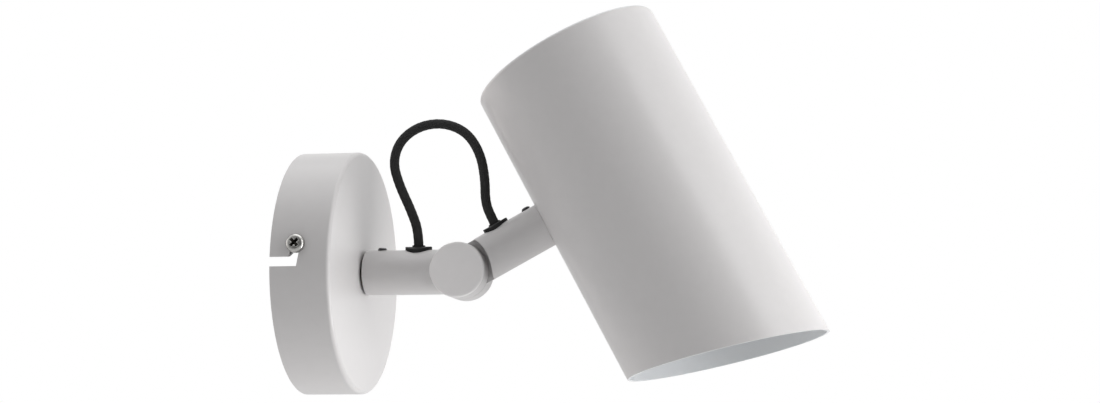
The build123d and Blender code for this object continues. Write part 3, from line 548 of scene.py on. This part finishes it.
# Powder coat: satin, with the fine orange-peel skin of melted powder. Its ripples are 0.8 mm wide
# and a few micrometres deep, and the pigment's mottle is faint.
def powder_coat(name, zone=None, zone_colours=("#000000", "#000000")):
    """Powder coat; where the zone's function makes an output of 1, it has the zone's colours."""
    painted = new_material(name)
    place = add_node(painted, "ShaderNodeTexCoord")
    mottle = add_node(
        painted,
        "ShaderNodeTexNoise",
        {"Vector": place.outputs["Object"], "Scale": 1 / 0.004, "Detail": 5},
    )
    tint = add_node(
        painted,
        "ShaderNodeMix",
        {0: mottle.outputs["Fac"], 6: hex_colour("#c6c4c4"), 7: hex_colour("#cac8c8")},
        data_type="RGBA",
    )
    if zone:
        other = add_node(
            painted,
            "ShaderNodeMix",
            {
                0: mottle.outputs["Fac"],
                6: hex_colour(zone_colours[0]),
                7: hex_colour(zone_colours[1]),
            },
            data_type="RGBA",
        )
        tint = add_node(
            painted,
            "ShaderNodeMix",
            {0: zone(painted, place), 6: tint.outputs[2], 7: other.outputs[2]},
            data_type="RGBA",
        )
    peel = add_node(
        painted,
        "ShaderNodeTexNoise",
        {"Vector": place.outputs["Object"], "Scale": 1 / 0.0008, "Detail": 1},
    )
    skin = add_node(
        painted,
        "ShaderNodeBump",
        {"Height": peel.outputs["Fac"], "Strength": 0.35, "Distance": 0.00002},
    )
    gloss = add_node(
        painted,
        "ShaderNodeMapRange",
        {"Value": mottle.outputs["Fac"], "To Min": 0.30, "To Max": 0.36},
    )
    coat = add_node(
        painted,
        "ShaderNodeBsdfPrincipled",
        {
            "Base Color": tint.outputs[2],
            "Roughness": gloss.outputs["Result"],
            "Normal": skin.outputs["Normal"],
        },
    )
    add_node(painted, "ShaderNodeOutputMaterial", {"Surface": coat.outputs["BSDF"]})
    return painted


grey_coat = powder_coat("powder coat")
cover(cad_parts["canopy"], grey_coat)

# ---------------------------------------------------------------------------------------------
# Locking screws: two M3.5 pan-head cross-recess screws, cold headed in steel and nickel plated.
# Their heads clamp the canopy's rim on the bracket's ears.
lock_reach = 0.0106
lock_turn = radians(8)
lock_seat = 0.05005  # from the arm's axis to the underside of a head
lock_head_radius = 0.0038
lock_head_height = 0.0026
lock_length = 0.0043
lock_diameter = 0.0035
lock_pitch = 0.0006
recess_span = 0.0047
recess_wing = 0.00135
recess_depth = 0.0020
thread_steps = 12  # rings of points to one turn of a thread
thread_sides = 32


def thread_radius(diameter, pitch):
    """Radius of a metric thread, with its flat crest and root, at an angle and a length."""
    depth = 0.6134 * pitch  # of an ISO metric thread

    def radius(angle, along):
        turn = along / pitch - angle / (2 * pi)
        flank = abs(2 * (turn - floor(turn)) - 1)
        cut = min(1, max(0, flank * 1.3 - 0.15))  # leaves flat crests and roots
        return diameter / 2 - depth * cut

    return radius


def straight_line(start, direction, length, step):
    """Evenly spaced points from start along a direction."""
    count = max(2, round(length / step))
    return [start + direction * (length * i / count) for i in range(count + 1)]


def turned_mesh(name, start, direction, profile, sides=64):
    """Mesh turned about a line: the profile is (radius, height) from its foot to its tip."""
    mesh = bpy.data.meshes.new(name)
    side = direction.orthogonal().normalized()
    across = direction.cross(side)
    spots, faces = [], []
    for radius, height in profile:
        for j in range(sides):
            angle = 2 * pi * j / sides
            spots.append(
                start + direction * height + (side * cos(angle) + across * sin(angle)) * radius
            )
    for i in range(len(profile) - 1):
        for j in range(sides):
            k = (j + 1) % sides
            faces.append((i * sides + j, i * sides + k, (i + 1) * sides + k, (i + 1) * sides + j))
    faces.append(tuple(reversed(range(sides))))
    faces.append(tuple((len(profile) - 1) * sides + j for j in range(sides)))
    mesh.from_pydata(spots, [], faces)
    mesh.update()
    return mesh


def cut_mesh(piece, cutter):
    """Cut one mesh piece out of another and drop the cutter, whose material stays on the cut."""
    carve = piece.modifiers.new("cut", "BOOLEAN")
    carve.operation = "DIFFERENCE"
    carve.solver = "EXACT"
    carve.material_mode = "TRANSFER"
    carve.use_self = True
    carve.object = cutter
    bpy.context.view_layer.update()
    carved = bpy.data.meshes.new_from_object(
        piece.evaluated_get(bpy.context.evaluated_depsgraph_get())
    )
    piece.modifiers.clear()
    piece.data = carved
    bpy.data.objects.remove(cutter)


def cross_recess_cutter(tip, direction, span, wing, depth):
    """Tapered cross that a cross-head driver fits, its mouth at the tip and its point below."""
    side = direction.orthogonal().normalized()
    across = direction.cross(side)
    shape = bmesh.new()
    mouth = (0.3 * depth, 1.09 * span / 2, 1.1 * wing / 2)
    foot = (-depth, 0.30 * span / 2, 0.62 * wing / 2)
    for one, other in ((side, across), (across, side)):
        corners = []
        for height, long_half, short_half in (mouth, foot):
            for a, b in ((1, 1), (-1, 1), (-1, -1), (1, -1)):
                corners.append(
                    shape.verts.new(
                        tip + direction * height + one * a * long_half + other * b * short_half
                    ),
                )
        shape.faces.new(corners[0:4])
        shape.faces.new(reversed(corners[4:8]))
        for j in range(4):
            k = (j + 1) % 4
            shape.faces.new((corners[j], corners[4 + j], corners[4 + k], corners[k]))
    bmesh.ops.recalc_face_normals(shape, faces=shape.faces)
    mesh = bpy.data.meshes.new("cutter")
    shape.to_mesh(mesh)
    shape.free()
    cutter = bpy.data.objects.new("cutter", mesh)
    bpy.context.collection.objects.link(cutter)
    return cutter


def pan_head_profile(radius, height):
    """Profile of a pan head: a short straight rim under a low dome."""
    rim = 0.32 * height
    bow = [(radius - 0.06 * radius, 0), (radius, 0.05 * height), (radius, rim)]
    for i in range(1, 13):
        angle = pi / 2 * i / 12
        bow.append(
            (radius * (0.60 + 0.40 * cos(angle)), rim + (height - rim) * 0.93 * sin(angle))
        )
    bow += [(radius * 0.4, height * 0.98), (radius * 0.2, height), (radius * 0.02, height)]
    return bow


# Bright nickel: a mirror-like metal, slightly warm, dulled by the blows of the heading die.
bright_nickel = new_material("bright nickel plating")
place = add_node(bright_nickel, "ShaderNodeTexCoord")
scuffs = add_node(
    bright_nickel,
    "ShaderNodeTexNoise",
    {"Vector": place.outputs["Object"], "Scale": 1 / 0.0012, "Detail": 4},
)
gloss = add_node(
    bright_nickel,
    "ShaderNodeMapRange",
    {"Value": scuffs.outputs["Fac"], "To Min": 0.14, "To Max": 0.32},
)
tint = add_node(
    bright_nickel,
    "ShaderNodeMix",
    {0: scuffs.outputs["Fac"], 6: hex_colour("#a3a2a0"), 7: hex_colour("#bfbebb")},
    data_type="RGBA",
)
nickel = add_node(
    bright_nickel,
    "ShaderNodeBsdfPrincipled",
    {"Base Color": tint.outputs[2], "Metallic": 1.0, "Roughness": gloss.outputs["Result"]},
)
add_node(bright_nickel, "ShaderNodeOutputMaterial", {"Surface": nickel.outputs["BSDF"]})

# Steel of the cross recess, coloured dark and dull: painted shade in the recess.
recess_shade_steel = new_material("cross recess painted shade")
place = add_node(recess_shade_steel, "ShaderNodeTexCoord")
recess_shade_mottle = add_node(
    recess_shade_steel,
    "ShaderNodeTexNoise",
    {"Vector": place.outputs["Object"], "Scale": 1 / 0.0005, "Detail": 3},
)
tint = add_node(
    recess_shade_steel,
    "ShaderNodeMix",
    {0: recess_shade_mottle.outputs["Fac"], 6: hex_colour("#3a3936"), 7: hex_colour("#55534e")},
    data_type="RGBA",
)
dull = add_node(
    recess_shade_steel,
    "ShaderNodeBsdfPrincipled",
    {"Base Color": tint.outputs[2], "Metallic": 1.0, "Roughness": 0.5},
)
add_node(recess_shade_steel, "ShaderNodeOutputMaterial", {"Surface": dull.outputs["BSDF"]})

for name, turn in (("near", 1), ("far", -1)):
    outward = Vector((0, -turn * cos(lock_turn), turn * sin(lock_turn)))
    seat = Vector((lock_reach, 0, 0)) + outward * lock_seat
    head = add_piece(
        f"{name}_locking_screw_head",
        turned_mesh(
            "screw_head", seat, outward, pan_head_profile(lock_head_radius, lock_head_height)
        ),
    )
    cover(head, bright_nickel)
    tip = seat + outward * lock_head_height
    recess = cross_recess_cutter(tip, outward, recess_span, recess_wing, recess_depth)
    # the recess's dark colour is painted shade
    cover(recess, recess_shade_steel)
    cut_mesh(head, recess)
    line = straight_line(seat, -outward, lock_length, lock_pitch / thread_steps)
    shank = add_piece(
        f"{name}_locking_screw_thread",
        tube_mesh("screw_thread", line, thread_sides, thread_radius(lock_diameter, lock_pitch)),
    )
    cover(shank, bright_nickel)
    for piece in (head, shank):
        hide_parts("canopy_screws")
        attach(piece, "wall_mount")

# ---------------------------------------------------------------------------------------------
# Arm and head stem: two steel tubes, each welded to its half of the round knuckle and painted as
# the canopy is. The flat end of the near half is coloured a shade lighter, as painted light.
tilt_axis = Vector((0.0658, 0, 0))
painted_light_front = -0.0087  # the zone of painted light lies in front of this plane
painted_light_reach = 0.0115  # and this near to the tilt axis


def painted_light_on_knuckle_end(painted, place):
    """1 where light is painted: the near knuckle half's flat end and its rounded edge."""
    apart = add_node(painted, "ShaderNodeSeparateXYZ", {"Vector": place.outputs["Object"]})
    front = add_node(
        painted,
        "ShaderNodeMath",
        {0: apart.outputs["Y"], 1: painted_light_front},
        operation="LESS_THAN",
    )
    across = add_node(
        painted, "ShaderNodeCombineXYZ", {"X": apart.outputs["X"], "Z": apart.outputs["Z"]}
    )
    reach = add_node(
        painted,
        "ShaderNodeVectorMath",
        {0: across.outputs["Vector"], 1: tilt_axis},
        operation="DISTANCE",
    )
    near = add_node(
        painted,
        "ShaderNodeMath",
        {0: reach.outputs["Value"], 1: painted_light_reach},
        operation="LESS_THAN",
    )
    return add_node(
        painted,
        "ShaderNodeMath",
        {0: front.outputs["Value"], 1: near.outputs["Value"]},
        operation="MULTIPLY",
    ).outputs["Value"]


# the arm's coat, with painted light on the knuckle's flat end
cover(
    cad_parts["arm"],
    powder_coat("powder coat of the arm", painted_light_on_knuckle_end, ("#e6e4e4", "#eae8e8")),
)
cover(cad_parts["head_stem"], grey_coat)

# ---------------------------------------------------------------------------------------------
# Shade: a can, deep drawn from 1 mm steel sheet with a closed, rounded top and trimmed to a
# slanted mouth. It is grey outside and cool white inside and on the trimmed edge.
shade_centre = Vector((0.14481, 0, 0.02127))
shade_line = Vector((0.4741, 0, -0.8805))
shade_inner_radius = 0.0390
shade_edge = 0.0007  # of the 1 mm wall, painted as the inside is


def inside_shade(painted, place):
    """1 inside the shade and on most of its trimmed edge."""
    from_centre = add_node(
        painted,
        "ShaderNodeVectorMath",
        {0: place.outputs["Object"], 1: shade_centre},
        operation="SUBTRACT",
    )
    off_axis = add_node(
        painted,
        "ShaderNodeVectorMath",
        {0: from_centre.outputs["Vector"], 1: shade_line},
        operation="CROSS_PRODUCT",
    )
    reach = add_node(
        painted, "ShaderNodeVectorMath", {0: off_axis.outputs["Vector"]}, operation="LENGTH"
    )
    return add_node(
        painted,
        "ShaderNodeMath",
        {0: reach.outputs["Value"], 1: shade_inner_radius + shade_edge},
        operation="LESS_THAN",
    ).outputs["Value"]


cover(
    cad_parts["shade"],
    powder_coat("powder coat of the shade", inside_shade, ("#d0d2d4", "#d4d6d8")),
)

# ---------------------------------------------------------------------------------------------
# Swivel bush and head bush: turned in brass, with a hollow M10 x 1 shank that a thin hexagon nut
# clamps through the sheet. Here each shank gets the thread that its solid leaves plain.
shank_diameter = 0.01008
shank_pitch = 0.0010
shank_sides = 64
bush_bore = 0.0047  # radius of the hole in the thread's skin
head_pitch = radians(28.3)
along_head = Vector((cos(head_pitch), 0, sin(head_pitch)))
up_head = Vector((-sin(head_pitch), 0, cos(head_pitch)))

# Dark brass: turned brass coloured brown-black, as painted shade, so that the gap behind the arm
# stays dark.
shade_dark_brass = new_material("brass coloured dark as painted shade")
place = add_node(shade_dark_brass, "ShaderNodeTexCoord")
bath = add_node(
    shade_dark_brass,
    "ShaderNodeTexNoise",
    {"Vector": place.outputs["Object"], "Scale": 1 / 0.0010, "Detail": 3},
)
tint = add_node(
    shade_dark_brass,
    "ShaderNodeMix",
    {0: bath.outputs["Fac"], 6: hex_colour("#2c2723"), 7: hex_colour("#3a332c")},
    data_type="RGBA",
)
dark = add_node(
    shade_dark_brass,
    "ShaderNodeBsdfPrincipled",
    {"Base Color": tint.outputs[2], "Metallic": 1.0, "Roughness": 0.45},
)
add_node(shade_dark_brass, "ShaderNodeOutputMaterial", {"Surface": dark.outputs["BSDF"]})
# painted shade: the swivel bush is coloured dark for the shadow gap behind the arm
cover(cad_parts["swivel_bush"], shade_dark_brass)


def threaded_sleeve(name, start, direction, length, bore):
    """Threaded skin of a hollow shank, open at both ends."""
    outer = thread_radius(shank_diameter, shank_pitch)
    line = straight_line(start, direction, length, shank_pitch / thread_steps)
    sleeve = add_piece(name, tube_mesh(name, line, shank_sides, outer))
    past = 0.001  # the cutter stands out at both ends
    bore_profile = [(bore, 0), (bore, length + 2 * past)]
    cutter = add_piece(
        "bore", turned_mesh("bore", start - direction * past, direction, bore_profile)
    )
    cut_mesh(sleeve, cutter)
    cover(sleeve, turned_brass)
    return sleeve


# past the nut, the swivel bush has 5.9 mm of thread towards the wall and the head bush 2.4 mm
swivel_thread = threaded_sleeve(
    "swivel_bush_thread", Vector((0.0194, 0, 0)), Vector((-1, 0, 0)), 0.0059, bush_bore
)
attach(swivel_thread, "wall_mount")
head_thread = threaded_sleeve(
    "head_bush_thread", tilt_axis + along_head * 0.0467, along_head, 0.0024, bush_bore
)
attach(head_thread, "head")

# ---------------------------------------------------------------------------------------------
# Set screws: M4 socket set screws with a dog point, blackened. One stands 1 mm out of the top of
# each tube, where it holds the tube on its bush.
arm_set_reach = 0.0318  # from the wall
head_set_reach = 0.0354  # from the tilt axis
set_screw_top = 0.01025  # from the tube's axis
set_screw_foot = 0.0075
set_screw_diameter = 0.0040
set_screw_pitch = 0.0007
set_screw_chamfer = 0.0005
set_screw_sides = 36
set_screw_steps = 14
socket_width = 0.0020
socket_depth = 0.0015

# Black oxide: blue-black steel with an oily shine.
black_oxide = new_material("black oxide steel")
place = add_node(black_oxide, "ShaderNodeTexCoord")
oil = add_node(
    black_oxide,
    "ShaderNodeTexNoise",
    {"Vector": place.outputs["Object"], "Scale": 1 / 0.0008, "Detail": 3},
)
gloss = add_node(
    black_oxide, "ShaderNodeMapRange", {"Value": oil.outputs["Fac"], "To Min": 0.3, "To Max": 0.5}
)
tint = add_node(
    black_oxide,
    "ShaderNodeMix",
    {0: oil.outputs["Fac"], 6: hex_colour("#626264"), 7: hex_colour("#747476")},
    data_type="RGBA",
)
steel = add_node(
    black_oxide,
    "ShaderNodeBsdfPrincipled",
    {"Base Color": tint.outputs[2], "Metallic": 1.0, "Roughness": gloss.outputs["Result"]},
)
add_node(black_oxide, "ShaderNodeOutputMaterial", {"Surface": steel.outputs["BSDF"]})

for name, node, foot, upward, body in (
    (
        "arm_set_screw_body",
        "arm_set_screw",
        Vector((arm_set_reach, 0, 0)),
        Vector((0, 0, 1)),
        "arm",
    ),
    (
        "head_set_screw_body",
        "head_set_screw",
        tilt_axis + along_head * head_set_reach,
        up_head,
        "head",
    ),
):
    start = foot + upward * set_screw_foot
    length = set_screw_top - set_screw_foot
    winding = thread_radius(set_screw_diameter, set_screw_pitch)

    def chamfered(angle, along, winding=winding, length=length):
        """The thread, with a chamfer at the screw's outer end."""
        into_chamfer = max(0, along - (length - set_screw_chamfer))
        return min(winding(angle, along), set_screw_diameter / 2 - into_chamfer)

    line = straight_line(start, upward, length, set_screw_pitch / set_screw_steps)
    screw = add_piece(name, tube_mesh(name, line, set_screw_sides, chamfered))
    socket_corner = socket_width / 2 / cos(pi / 6)
    socket_profile = [(socket_corner, 0), (socket_corner, 2 * socket_depth)]
    bottom = foot + upward * (set_screw_top - socket_depth)
    socket = turned_mesh("socket", bottom, upward, socket_profile, sides=6)
    cut_mesh(screw, add_piece("socket", socket, smooth=False))
    cover(screw, black_oxide)
    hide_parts(node)
    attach(screw, body)

# ---------------------------------------------------------------------------------------------
# Knuckle's pivot: an M5 socket screw of zinc-plated steel with a flat and a spring washer in the
# far half, and a nylon friction washer between the halves that holds the head where it is put.
for node in (
    "pivot_screw",
    "pivot_washer",
    "spring_washer",
    "saddle_washer",
    "holder_bracket",
    "holder_nuts",
    "holder_screws",
):
    cover(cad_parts[node], zinc_plate)

# Nylon, moulded: milky white and slightly waxy.
milky_nylon = new_material("moulded nylon")
place = add_node(milky_nylon, "ShaderNodeTexCoord")
wax = add_node(
    milky_nylon,
    "ShaderNodeTexNoise",
    {"Vector": place.outputs["Object"], "Scale": 1 / 0.001, "Detail": 2},
)
tint = add_node(
    milky_nylon,
    "ShaderNodeMix",
    {0: wax.outputs["Fac"], 6: hex_colour("#dcdad4"), 7: hex_colour("#e6e4df")},
    data_type="RGBA",
)
nylon = add_node(
    milky_nylon, "ShaderNodeBsdfPrincipled", {"Base Color": tint.outputs[2], "Roughness": 0.45}
)
add_node(milky_nylon, "ShaderNodeOutputMaterial", {"Surface": nylon.outputs["BSDF"]})
cover(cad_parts["friction_washer"], milky_nylon)

# ---------------------------------------------------------------------------------------------
# Lampholder: a pressed block of unglazed steatite with two keyholes for the lamp's pins, screwed
# under its steel bracket. Two silicone-sleeved leads go into its side.

# Steatite, pressed and fired: off-white, dry, with tiny dark specks.
steatite = new_material("fired steatite")
place = add_node(steatite, "ShaderNodeTexCoord")
specks = add_node(
    steatite,
    "ShaderNodeTexNoise",
    {"Vector": place.outputs["Object"], "Scale": 1 / 0.0006, "Detail": 6, "Roughness": 0.8},
)
speckle = add_node(steatite, "ShaderNodeValToRGB", {"Fac": specks.outputs["Fac"]})
speckle.color_ramp.elements[0].position = 0.28
speckle.color_ramp.elements[0].color = hex_colour("#b9b2a2")
speckle.color_ramp.elements[1].position = 0.42
speckle.color_ramp.elements[1].color = hex_colour("#e6e1d6")
grit = add_node(
    steatite,
    "ShaderNodeBump",
    {"Height": specks.outputs["Fac"], "Strength": 0.3, "Distance": 0.00004},
)
fired = add_node(
    steatite,
    "ShaderNodeBsdfPrincipled",
    {"Base Color": speckle.outputs["Color"], "Roughness": 0.6, "Normal": grit.outputs["Normal"]},
)
add_node(steatite, "ShaderNodeOutputMaterial", {"Surface": fired.outputs["BSDF"]})
cover(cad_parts["lampholder"], steatite)

# the holder's leads leave the bush's shank and rise to the holder's side: millimetres along the
# head from the tilt axis, and above the head tube's axis
holder_lead_route = (
    (49.15, 0), (51.6, 0), (54.15, 0), (58.4, 5.0), (62.65, 10.0), (65.1, 10.0), (67.65, 10.0)
)
silicone_sleeve = sleeve_material("silicone sleeve", "#d9d4cb", "#dedad2")
for name, side in (("near_holder_lead", -1), ("far_holder_lead", 1)):
    route = []
    for along, above in holder_lead_route:
        spot = tilt_axis + along_head * (along / 1000) + up_head * (above / 1000)
        route.append((spot.x, side * 0.0010, spot.z))
    lead = add_piece(
        name, tube_mesh(name, even_steps(smooth_line(route), lead_step), lead_sides, lead_radius)
    )
    cover(lead, silicone_sleeve)
    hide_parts("holder_leads")
    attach(lead, "head")

# ---------------------------------------------------------------------------------------------
# Studio: a pale floor half a metre below the light, a white surround that is dim only in front,
# where the camera stands, and soft boxes right, low right, behind on the left and above.
floor_height = -0.50
floor_reach = 9
floor_mesh = bpy.data.meshes.new("floor")
floor_corners = [
    (x * floor_reach, y * floor_reach, floor_height)
    for x, y in ((-1, -1), (1, -1), (1, 1), (-1, 1))
]
floor_mesh.from_pydata(floor_corners, [], [(0, 1, 2, 3)])
floor_piece = bpy.data.objects.new("floor", floor_mesh)
bpy.context.collection.objects.link(floor_piece)

# Paper: pale and matt. From 0.4 to 2.2 m away from the light it fades, as the camera sees it, to
# plain white, so that no horizon shows.
pale_paper = new_material("pale paper")
paper = add_node(
    pale_paper,
    "ShaderNodeBsdfPrincipled",
    {"Base Color": hex_colour("#eeeeee"), "Roughness": 0.9},
)
glow = add_node(pale_paper, "ShaderNodeEmission", {"Color": (1, 1, 1, 1), "Strength": 1.0})
place = add_node(pale_paper, "ShaderNodeTexCoord")
distance = add_node(
    pale_paper,
    "ShaderNodeVectorMath",
    {0: place.outputs["Object"], 1: Vector((0.1, 0, floor_height))},
    operation="DISTANCE",
)
away = add_node(
    pale_paper,
    "ShaderNodeMapRange",
    {"Value": distance.outputs["Value"], "From Min": 0.4, "From Max": 2.2},
    interpolation_type="SMOOTHSTEP",
)
ray = add_node(pale_paper, "ShaderNodeLightPath")
plain = add_node(
    pale_paper,
    "ShaderNodeMath",
    {0: ray.outputs["Is Camera Ray"], 1: away.outputs["Result"]},
    operation="MULTIPLY",
)
sheet = add_node(
    pale_paper,
    "ShaderNodeMixShader",
    {0: plain.outputs["Value"], 1: paper.outputs["BSDF"], 2: glow.outputs["Emission"]},
)
add_node(pale_paper, "ShaderNodeOutputMaterial", {"Surface": sheet.outputs["Shader"]})
cover(floor_piece, pale_paper)

# the surround is plain white where it is seen; its light and its reflections fade in front
room_front = Vector((0.2, -0.98, 0))
light_middle = Vector((0.10, 0, 0.02))  # where the soft boxes aim
surround = bpy.data.worlds.new("surround")
bpy.context.scene.world = surround
surround.use_nodes = True
surround.node_tree.nodes.clear()
aim = add_node(surround, "ShaderNodeTexCoord")
facing = add_node(
    surround,
    "ShaderNodeVectorMath",
    {0: aim.outputs["Generated"], 1: room_front},
    operation="DOT_PRODUCT",
)
front = add_node(
    surround,
    "ShaderNodeMapRange",
    {"Value": facing.outputs["Value"], "From Min": 0.45, "From Max": 0.85},
    interpolation_type="SMOOTHSTEP",
)
fill = add_node(
    surround,
    "ShaderNodeMapRange",
    {"Value": front.outputs["Result"], "To Min": 0.82, "To Max": 0.0},
)
mirrored = add_node(
    surround,
    "ShaderNodeMapRange",
    {"Value": front.outputs["Result"], "To Min": 1.0, "To Max": 0.2},
)
ray = add_node(surround, "ShaderNodeLightPath")
unseen = add_node(
    surround,
    "ShaderNodeMapRange",
    {
        "Value": ray.outputs["Is Glossy Ray"],
        "To Min": fill.outputs["Result"],
        "To Max": mirrored.outputs["Result"],
    },
)
seen = add_node(
    surround,
    "ShaderNodeMath",
    {0: ray.outputs["Is Camera Ray"], 1: ray.outputs["Is Transmission Ray"]},
    operation="MAXIMUM",
)
level = add_node(
    surround,
    "ShaderNodeMapRange",
    {"Value": seen.outputs["Value"], "To Min": unseen.outputs["Result"], "To Max": 1.0},
)
white = add_node(
    surround, "ShaderNodeBackground", {"Color": (1, 1, 1, 1), "Strength": level.outputs["Result"]}
)
add_node(surround, "ShaderNodeOutputWorld", {"Surface": white.outputs["Background"]})


def soft_box(name, place, side, watts, spread=180, colour="#ffffff"):
    """Square soft box that faces the light; a grid over it narrows its spread, in degrees."""
    box = bpy.data.objects.new(name, bpy.data.lights.new(name, "AREA"))
    bpy.context.collection.objects.link(box)
    box.data.size = side
    box.data.energy = watts
    box.data.spread = radians(spread)
    box.data.color = hex_colour(colour)[:3]
    box.location = place
    box.rotation_euler = (light_middle - Vector(place)).to_track_quat("-Z", "Y").to_euler()


soft_box("right_box", (0.976, -0.375, 0.57), 0.5, 1.75)
soft_box("far_right_box", (1.171, -0.251, 0.02), 0.5, 1.55)
soft_box("low_right_box", (0.644, 0.017, -0.234), 0.3, 0.62, spread=90)
soft_box("back_left_box", (-0.941, 0.342, 0.116), 0.9, 1.33, spread=120, colour="#fff6f2")
soft_box("top_box", (0.1, 0, 1.12), 1.2, 5.15)
bpy.context.scene.view_settings.view_transform = "Standard"
